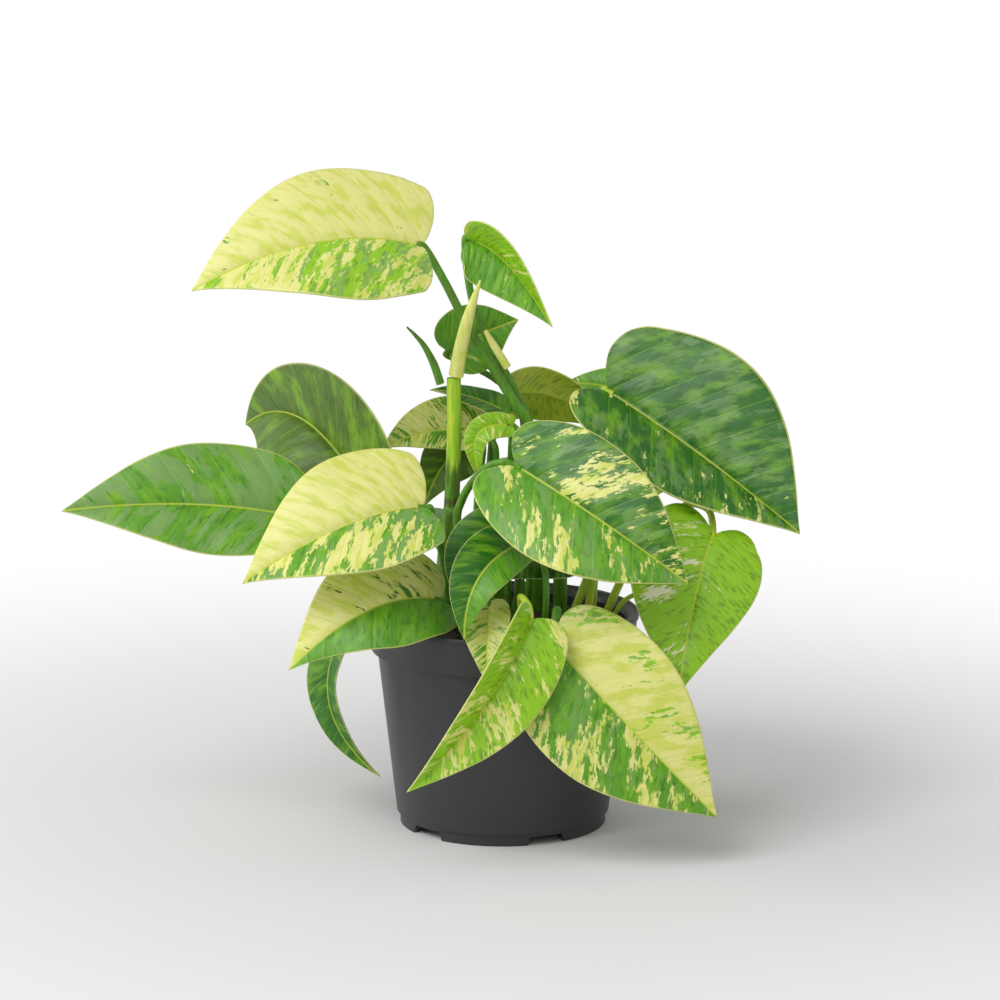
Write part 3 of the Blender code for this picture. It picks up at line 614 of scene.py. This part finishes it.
def vine_material(sizes):
    """Main vine: pale lime above its collar, darker and browner towards the soil."""
    finish, shader, start = new_material("vine_finish", 0.42)
    place = start.node("ShaderNodeTexCoord", {}, output=3)
    height = place.node("ShaderNodeSeparateXYZ", {0: place}, output=2)
    stretched = start.node("ShaderNodeMapping", {"Vector": place, "Scale": (600.0, 600.0, 80.0)})
    streak = clouds(stretched, 1.0, 3.0)
    low = blend(step_up(streak, 0.42, 0.62), paint("olive"), paint("leaf"))
    high = blend(step_up(streak, 0.42, 0.66), paint("lime"), paint("yellow"))
    colour = blend(step_up(height + streak * 0.012, PALE_FROM, PALE_ABOVE), low, high)
    ring = height.maths("ABSOLUTE", height - sizes.node_height)
    colour = blend((1.0 - step_up(ring + streak * 0.004, 0.002, 0.0055)) * 0.75, colour, paint("brown"))
    plug(colour, shader, "Base Color")
    bumps(shader, streak, sizes.fine_relief)
    return finish


def add_tube(name, points, radii, finish, sides):
    """A round stem along a smooth route, with a radius that runs through the given ones."""
    route = spline(points, TUBE_STEPS * (len(points) - 1) + 1)
    shares = np.linspace(0, 1, len(route))
    widths = np.interp(shares, np.linspace(0, 1, len(radii)), radii)
    data = bpy.data.curves.new(name, "CURVE")
    data.dimensions = "3D"
    data.bevel_depth = MM
    data.bevel_resolution = sides
    data.use_fill_caps = True
    data.splines.new("POLY").points.add(len(route) - 1)
    for knot, place, width in zip(data.splines[0].points, route, widths):
        knot.co = (*(AXIS + Vector(place) * MM), 1)
        knot.radius = width
    piece = bpy.data.objects.new(name, data)
    bpy.context.collection.objects.link(piece)
    use_only(piece)
    bpy.ops.object.convert(target="MESH")
    piece = bpy.context.active_object
    edit_all(bpy.ops.mesh.remove_doubles, threshold=WELD)
    edit_all(bpy.ops.mesh.normals_make_consistent, inside=False)
    bpy.ops.object.shade_smooth_by_angle(angle=math.radians(STEM_SMOOTHING))
    piece.data.materials.clear()
    piece.data.materials.append(finish)
    return piece


def stalk_route(stalk, leaf, sizes):
    """Route of a leaf stalk from inside the soil into the foot of its blade."""
    x, y = stalk.points[0]
    base = np.array(leaf.base, float)
    _, direction = midrib(leaf, np.array(0.0))
    upward, _ = blade_axes(leaf, np.array(0.0))
    foot = soil_height(x, y) - sizes.buried / MM
    below = base - upward * FOOT_DROP - direction * FOOT_BACK
    inside = base - upward * INNER_DROP + direction * INNER_REACH
    return [(x, y, foot), *stalk.points[1:], tuple(below), tuple(inside)]


class LeafSettings(bpy.types.PropertyGroup):
    """Sizes of the leaf blades."""

    rows: IntProperty(name="Rows", description="Faces from the base to the tip", default=72, min=8)
    columns: IntProperty(name="Columns", description="Faces over the width", default=48, min=4)
    thickness: FloatProperty(name="Thickness", description="Thickness of a blade", default=0.0006,
                             unit="LENGTH")
    groove: FloatProperty(name="Midrib depth", description="How far the midrib lies below the blade",
                          default=0.0010, unit="LENGTH")
    quilting: FloatProperty(name="Quilting", description="Height of the swell between side veins",
                            default=0.0005, unit="LENGTH")
    vein_count: FloatProperty(name="Side veins", description="Side veins along one half", default=9.0)
    vein_slope: FloatProperty(name="Vein slope", description="Forward run of the side veins",
                              default=0.65)
    fine_relief: FloatProperty(name="Fine relief", description="Depth of the finest relief",
                               default=0.00012, unit="LENGTH")


class StemSettings(bpy.types.PropertyGroup):
    """Sizes of the stalks, vines and sheaths."""

    sides: IntProperty(name="Roundness", description="Steps in a quarter of a stem", default=4, min=1)
    buried: FloatProperty(name="Buried length", description="Length of a stem inside the soil",
                          default=0.004, unit="LENGTH")
    node_height: FloatProperty(name="Node height", description="Height of the brown node of the vine",
                               default=0.150, unit="LENGTH")
    fine_relief: FloatProperty(name="Fine relief", description="Depth of the finest relief",
                               default=0.0001, unit="LENGTH")


class SoilSettings(bpy.types.PropertyGroup):
    """Crumbs of the soil."""

    crumbs: IntProperty(name="Crumbs", description="Number of loose crumbs", default=900, min=0)
    smallest: FloatProperty(name="Smallest crumb", description="Radius of the smallest crumb",
                            default=0.0006, unit="LENGTH")
    largest: FloatProperty(name="Largest crumb", description="Radius of the largest crumb",
                           default=0.0022, unit="LENGTH")
    seed: IntProperty(name="Seed", description="Start of the random choices", default=5)


class PotSettings(bpy.types.PropertyGroup):
    """Finish and fineness of the pot."""

    segments: IntProperty(name="Segments", description="Steps around the pot", default=240, min=12)
    colour: FloatVectorProperty(name="Colour", description="Colour of the plastic", subtype="COLOR",
                                size=3, default=(0.030, 0.031, 0.033), min=0, max=1)
    roughness: FloatProperty(name="Roughness", description="Roughness of the plastic", default=0.42)


class StageSettings(bpy.types.PropertyGroup):
    """Floor, light and camera."""

    floor_colour: FloatVectorProperty(name="Floor", description="Colour of the floor", subtype="COLOR",
                                      size=3, default=(0.80, 0.80, 0.80), min=0, max=1)
    sky: FloatProperty(name="Sky", description="Strength of the light from all around", default=0.55)
    key_power: FloatProperty(name="Key light", description="Power of the main lamp in watts", default=26.0)
    side_power: FloatProperty(name="Side light", description="Power of the side lamp in watts",
                              default=9.0)
    lens: FloatProperty(name="Lens", description="Focal length in millimetres", default=146.1)


class POTHOS_OT_leaves(bpy.types.Operator):
    """Add the marbled leaves"""

    bl_idname = "pothos.leaves"
    bl_label = "Leaves"

    def execute(self, context):
        for leaf in LEAVES:
            add_leaf(leaf, context.scene.pothos_leaf)
        return {"FINISHED"}


class POTHOS_OT_stems(bpy.types.Operator):
    """Add the leaf stalks, the vines and the papery sheaths"""

    bl_idname = "pothos.stems"
    bl_label = "Stems"

    def execute(self, context):
        sizes = context.scene.pothos_stem
        finishes = {green: stem_material(f"stem_{green}_finish", tints, sizes)
                    for green, tints in STEM_TINTS.items()}
        leaves = {leaf.name: leaf for leaf in LEAVES}
        for stalk in STALKS:
            route = stalk_route(stalk, leaves[stalk.leaf], sizes)
            first, last = stalk.radii
            piece = add_tube(f"{stalk.name}_stem", route, (first, (first + last) / 2, last, last * 0.8),
                             finishes[stalk.green], sizes.sides)
            settle(piece, stalk.name)
        vine_finish = vine_material(sizes)
        for name, points, radii in VINES:
            x, y = points[0]
            route = [(x, y, soil_height(x, y) - sizes.buried / MM), *points[1:]]
            finish = vine_finish if name == "vine_left" else finishes["mid"]
            piece = add_tube(f"{name}_stem", route, radii, finish, sizes.sides)
            settle(piece, name)
        for name, points, radii, green in SHEATHS:
            piece = add_tube(f"{name}_skin", points, radii, finishes[green], sizes.sides)
            settle(piece, name)
        return {"FINISHED"}


class POTHOS_OT_soil(bpy.types.Operator):
    """Scatter crumbs over the soil and darken it"""

    bl_idname = "pothos.soil"
    bl_label = "Soil"

    def execute(self, context):
        sizes = context.scene.pothos_soil
        dice = random.Random(sizes.seed)
        finish, shader, start = new_material("soil_finish", 0.92)
        place = start.node("ShaderNodeTexCoord", {}, output=3)
        grain = clouds(place, 420.0, 4.0)
        plug(blend(step_up(grain, 0.35, 0.75), paint("peat"), paint("brown")), shader, "Base Color")
        bumps(shader, grain, 0.0012)
        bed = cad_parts["soil"]
        bed.data.materials.clear()
        bed.data.materials.append(finish)
        bpy.ops.mesh.primitive_ico_sphere_add(subdivisions=1, radius=1)
        lump = bpy.context.active_object
        corners = np.array([vertex.co for vertex in lump.data.vertices])
        faces = np.array([tuple(polygon.vertices) for polygon in lump.data.polygons])
        bpy.data.objects.remove(lump)
        places, triangles = [], []
        for number in range(sizes.crumbs):
            distance = (SOIL_RADIUS - CRUMB_CLEARANCE) * math.sqrt(dice.random())
            turn = math.tau * dice.random()
            x, y = distance * math.cos(turn), distance * math.sin(turn)
            radius = dice.uniform(sizes.smallest, sizes.largest) * dice.uniform(0.5, 1)
            middle = np.array(AXIS) + np.array((x, y, soil_height(x, y))) * MM
            rough = np.array([[dice.uniform(*CRUMB_CORNERS)] for _ in corners])
            places.append(middle + corners * rough * radius * np.array((1, 1, CRUMB_FLATNESS)))
            triangles.append(faces + number * len(corners))
        mesh = bpy.data.meshes.new("soil_crumbs")
        mesh.from_pydata(np.vstack(places).tolist(), [], np.vstack(triangles).tolist())
        mesh.materials.append(finish)
        piece = bpy.data.objects.new("soil_crumbs", mesh)
        context.collection.objects.link(piece)
        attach(piece, "root")
        return {"FINISHED"}


class POTHOS_OT_pot(bpy.types.Operator):
    """Add the plastic pot with its rolled band and notched foot"""

    bl_idname = "pothos.pot"
    bl_label = "Pot"

    def execute(self, context):
        sizes = context.scene.pothos_pot
        turns = np.linspace(0, math.tau, sizes.segments, endpoint=False)
        offset = np.degrees(turns) + 90 - FIRST_NOTCH_MIDDLE
        spread = 360 / FOOT_COUNT
        in_notch = np.abs((offset + spread / 2) % spread - spread / 2) < FOOT_NOTCH_ANGLE / 2
        rings = []
        for radius, height in POT_PROFILE:
            level = np.where(in_notch & (height < FOOT_NOTCH_HEIGHT), FOOT_NOTCH_HEIGHT, height)
            rings.append(np.stack([radius * np.cos(turns), radius * np.sin(turns), level], axis=1))
        count = len(rings)
        faces = []
        for ring in range(count):
            for step in range(sizes.segments):
                beside = (step + 1) % sizes.segments
                above = (ring + 1) % count
                faces.append((ring * sizes.segments + step, ring * sizes.segments + beside,
                              above * sizes.segments + beside, above * sizes.segments + step))
        mesh = bpy.data.meshes.new("pot_shell")
        mesh.from_pydata((np.vstack(rings) * MM + np.array(AXIS)).tolist(), [], faces)
        piece = bpy.data.objects.new("pot_shell", mesh)
        context.collection.objects.link(piece)
        use_only(piece)
        edit_all(bpy.ops.mesh.remove_doubles, threshold=WELD)
        edit_all(bpy.ops.mesh.normals_make_consistent, inside=False)
        bpy.ops.object.shade_smooth_by_angle(angle=math.radians(POT_SMOOTHING))
        finish, shader, start = new_material("pot_finish", sizes.roughness)
        shader.inputs["Base Color"].default_value = (*sizes.colour, 1.0)
        grain = clouds(start.node("ShaderNodeTexCoord", {}, output=3), 900.0, 2.0)
        bumps(shader, grain, 0.00003)
        mesh.materials.append(finish)
        settle(piece, "pot")
        return {"FINISHED"}


class POTHOS_OT_stage(bpy.types.Operator):
    """Set up the pale floor, the soft light and the camera"""

    bl_idname = "pothos.stage"
    bl_label = "Stage"

    def execute(self, context):
        sizes = context.scene.pothos_stage
        bpy.ops.mesh.primitive_plane_add(size=FLOOR_SIZE, location=(0, 0, 0))
        floor = context.active_object
        floor.name = "floor"
        finish, shader, start = new_material("floor_finish", 0.9)
        shader.inputs["Base Color"].default_value = (*sizes.floor_colour, 1.0)
        shader.inputs["Specular IOR Level"].default_value = 0.1
        place = start.node("ShaderNodeTexCoord", {}, output=3)
        away = place.node("ShaderNodeVectorMath", {0: place}, output=1, operation="LENGTH")
        seen = start.node("ShaderNodeLightPath", {})
        glow = start.node("ShaderNodeEmission", {"Color": (1.0, 1.0, 1.0, 1.0), "Strength": 1.0})
        far = step_up(away, WHITE_FROM, WHITE_BEYOND) * seen
        mixed = far.node("ShaderNodeMixShader", {0: far, 1: Signal(start.tree, shader.outputs[0]), 2: glow})
        start.tree.links.new(mixed.socket, start.tree.nodes["Material Output"].inputs["Surface"])
        floor.data.materials.append(finish)
        world = bpy.data.worlds.new("studio")
        world.use_nodes = True
        background = world.node_tree.nodes["Background"]
        background.inputs["Color"].default_value = (1.0, 1.0, 1.0, 1.0)
        background.inputs["Strength"].default_value = sizes.sky
        context.scene.world = world
        for name, place, power, width in (
                ("key", KEY_PLACE, sizes.key_power, KEY_WIDTH),
                ("side", SIDE_PLACE, sizes.side_power, SIDE_WIDTH)):
            bpy.ops.object.light_add(type="AREA", location=place)
            lamp = context.active_object
            lamp.name = name
            lamp.data.energy = power
            lamp.data.size = width
            aim = LAMP_AIM - Vector(place)
            lamp.rotation_euler = aim.to_track_quat("-Z", "Y").to_euler()
        stand = (AXIS.x + CAMERA_SIDE, AXIS.y - CAMERA_DISTANCE, CAMERA_HEIGHT)
        bpy.ops.object.camera_add(location=stand, rotation=(math.radians(90 - CAMERA_TILT), 0, 0))
        context.active_object.data.lens = sizes.lens
        context.scene.camera = context.active_object
        context.scene.view_settings.view_transform = "Standard"
        return {"FINISHED"}


class POTHOS_PT_panel(bpy.types.Panel):
    """Settings and buttons of the potted pothos"""

    bl_label = "Potted Pothos"
    bl_idname = "POTHOS_PT_panel"
    bl_space_type = "VIEW_3D"
    bl_region_type = "UI"
    bl_category = "Pothos"

    def draw(self, context):
        for group, operator in STEPS:
            box = self.layout.box()
            settings = getattr(context.scene, group)
            for name in type(settings).__annotations__:
                box.prop(settings, name)
            box.operator(operator)


GROUPS = {
    "pothos_leaf": LeafSettings,
    "pothos_stem": StemSettings,
    "pothos_soil": SoilSettings,
    "pothos_pot": PotSettings,
    "pothos_stage": StageSettings,
}
STEPS = (
    ("pothos_pot", "pothos.pot"),
    ("pothos_soil", "pothos.soil"),
    ("pothos_stem", "pothos.stems"),
    ("pothos_leaf", "pothos.leaves"),
    ("pothos_stage", "pothos.stage"),
)
OPERATORS = (
    POTHOS_OT_pot, POTHOS_OT_soil, POTHOS_OT_stems, POTHOS_OT_leaves, POTHOS_OT_stage, POTHOS_PT_panel,
)


def register():
    """Add the settings, the operators and the panel."""
    for name, group in GROUPS.items():
        bpy.utils.register_class(group)
        setattr(bpy.types.Scene, name, PointerProperty(type=group))
    for operator in OPERATORS:
        bpy.utils.register_class(operator)


def unregister():
    """Remove the settings, the operators and the panel."""
    for operator in reversed(OPERATORS):
        bpy.utils.unregister_class(operator)
    for name, group in GROUPS.items():
        delattr(bpy.types.Scene, name)
        bpy.utils.unregister_class(group)


def main():
    """Build every piece and the stage."""
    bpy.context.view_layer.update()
    register()
    bpy.ops.pothos.pot()
    bpy.ops.pothos.soil()
    bpy.ops.pothos.stems()
    bpy.ops.pothos.leaves()
    bpy.ops.pothos.stage()
    bpy.context.view_layer.update()


if __name__ == "__main__":
    main()
